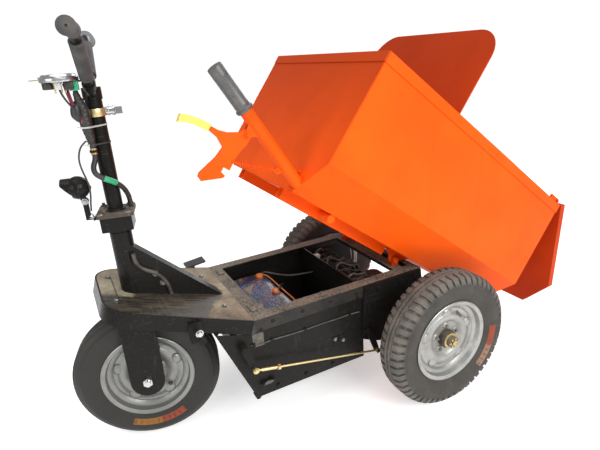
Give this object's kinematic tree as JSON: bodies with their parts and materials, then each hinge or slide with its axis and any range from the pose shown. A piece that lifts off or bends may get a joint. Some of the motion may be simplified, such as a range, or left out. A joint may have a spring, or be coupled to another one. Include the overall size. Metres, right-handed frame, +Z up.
{
  "type": "power wheelbarrow",
  "caption": "Battery dump wheelbarrow with a steered front wheel, driven rear axle, open battery box and a tipped orange bucket with a hanging tailgate.",
  "frame": {"origin": "centre of the footprint, on the ground", "axes": "+X forward along the travel direction, +Y to the left side, +Z up"},
  "size_m": [1.7031, 0.85, 1.227],
  "materials": {
    "bucket_paint": "orange paint, dusty, scuffed",
    "gate_paint": "red-orange paint, dusty",
    "black_paint": "satin black paint with dust",
    "dusty_frame": "dark paint under dried mud",
    "deck_dust": "cream dust over dark paint",
    "rim_steel": "silver painted pressed steel",
    "tyre_rubber": "dusty rubber",
    "grip_rubber": "matt rubber",
    "battery_case": "grey moulded case",
    "yellow_zinc": "yellow zinc plate",
    "bright_metal": "plated, fine scratches",
    "case_plastic": "black moulding",
    "yellow_sleeve": "pale yellow dipped sleeve",
    "lead_black": "black sheath",
    "tie_white": "white nylon",
    "lamp_glass": "clear lens"
  },
  "bodies": {
    "chassis": {"frame_rails": "dusty_frame", "battery_box": "black_paint", "battery_left": "battery_case", "battery_right": "battery_case", "battery_rear": "battery_case", "deck_plate": "deck_dust", "deck_rim": "dusty_frame", "deck_gusset": "black_paint", "head_tube": "black_paint", "axle_housing": "black_paint", "axle_carriers": "black_paint", "drive_motor": "black_paint", "hinge_lugs": "gate_paint", "bucket_pads": "dusty_frame", "latch_catch": "black_paint", "gusset_conduit": "lead_black", "side_wire": "lead_black", "side_fittings": "black_paint"},
    "steering": {"fork": "black_paint", "front_axle": "bright_metal", "steering_stem": "black_paint", "column_block": "black_paint", "column_flange": "black_paint", "steering_column": "black_paint", "handlebar": "black_paint", "bar_grips": "grip_rubber", "throttle_case": "case_plastic", "gauge_case": "bright_metal", "steer_brackets": "black_paint", "key_switch": "bright_metal", "wiring_bundle": "lead_black", "cable_ties": "tie_white", "column_conduit": "lead_black", "lamp_wire": "lead_black"},
    "front_wheel": {"front_tyre": "tyre_rubber", "front_rim": "rim_steel", "front_hub": "rim_steel"},
    "rear_wheel_left": {"rear_tyre_left": "tyre_rubber", "rear_rim_left": "rim_steel", "rear_hub_left": "rim_steel"},
    "rear_wheel_right": {"rear_tyre_right": "tyre_rubber", "rear_rim_right": "rim_steel", "rear_hub_right": "rim_steel"},
    "bucket": {"bucket_shell": "bucket_paint", "bucket_frame": "bucket_paint", "bucket_guard": "bucket_paint", "dump_handle": "bucket_paint", "dump_grip": "grip_rubber", "latch_spring": "bucket_paint"},
    "tailgate": {"tailgate": "gate_paint"},
    "latch": {"latch_hook": "black_paint", "latch_sleeve": "yellow_sleeve"},
    "brake_pedal": {"brake_shaft": "black_paint", "brake_pad": "grip_rubber"},
    "brake_rod": {"brake_rod": "yellow_zinc"},
    "brake_arm": {"brake_arm": "black_paint"},
    "throttle": {"grip_right": "grip_rubber"},
    "key": {"ignition_key": "bright_metal"},
    "lamp": {"headlamp": "black_paint", "lamp_lens": "lamp_glass"}
  },
  "joints": [
    {"name": "steer", "type": "hinge", "parent": "chassis", "child": "steering", "pos_m": [0.63327, 0, 0.6], "axis": [0, 0, 1], "range_deg": [-26, 54]},
    {"name": "front_wheel_spin", "type": "hinge", "parent": "steering", "child": "front_wheel", "pos_m": [0.63327, 0, 0.22], "axis": [0.2419, 0.9703, 0], "continuous": true},
    {"name": "rear_wheel_left_spin", "type": "hinge", "parent": "chassis", "child": "rear_wheel_left", "pos_m": [-0.24173, 0.371, 0.228], "axis": [0, 1, 0], "continuous": true},
    {"name": "rear_wheel_right_spin", "type": "hinge", "parent": "chassis", "child": "rear_wheel_right", "pos_m": [-0.24173, -0.371, 0.228], "axis": [0, 1, 0], "continuous": true},
    {"name": "bucket_tip", "type": "hinge", "parent": "chassis", "child": "bucket", "pos_m": [-0.21173, 0, 0.43], "axis": [0, 1, 0], "range_deg": [0, 37]},
    {"name": "tailgate_hang", "type": "hinge", "parent": "bucket", "child": "tailgate", "pos_m": [-0.82442, 0, 0.55681], "axis": [0, 1, 0], "range_deg": [-34, 80]},
    {"name": "latch_squeeze", "type": "hinge", "parent": "bucket", "child": "latch", "pos_m": [0.31588, 0.24, 0.94478], "axis": [0, -1, 0], "range_deg": [-8, 25], "stiffness_Nm_per_rad": 20},
    {"name": "brake_pedal_push", "type": "hinge", "parent": "chassis", "child": "brake_pedal", "pos_m": [0.39027, 0, 0.335], "axis": [0, -1, 0], "range_deg": [0, 12], "stiffness_Nm_per_rad": 40, "springref_deg": -5.73},
    {"name": "brake_rod_swing", "type": "hinge", "parent": "brake_pedal", "child": "brake_rod", "pos_m": [0.36627, 0.2488, 0.262], "axis": [0, -1, 0], "range_deg": [-12, 0]},
    {"name": "brake_arm_swing", "type": "hinge", "parent": "chassis", "child": "brake_arm", "pos_m": [-0.04573, 0.238, 0.24], "axis": [0, -1, 0], "range_deg": [0, 12]},
    {"name": "throttle_twist", "type": "hinge", "parent": "steering", "child": "throttle", "pos_m": [0.63327, 0, 1.204], "axis": [0.1392, 0.9903, 0], "range_deg": [0, 70], "stiffness_Nm_per_rad": 0.4},
    {"name": "key_turn", "type": "hinge", "parent": "steering", "child": "key", "pos_m": [0.58446, 0.00805, 1.018], "axis": [-0.9703, 0.2419, 0], "range_deg": [0, 90]},
    {"name": "lamp_tilt", "type": "hinge", "parent": "steering", "child": "lamp", "pos_m": [0.70649, 0.02915, 0.798], "axis": [0.2419, 0.9703, 0], "range_deg": [0, 20]}
  ],
  "couplings": [
    {"joint": "brake_rod_swing", "follows": "brake_pedal_push", "ratio": -1},
    {"joint": "brake_arm_swing", "follows": "brake_pedal_push", "ratio": 1}
  ]
}
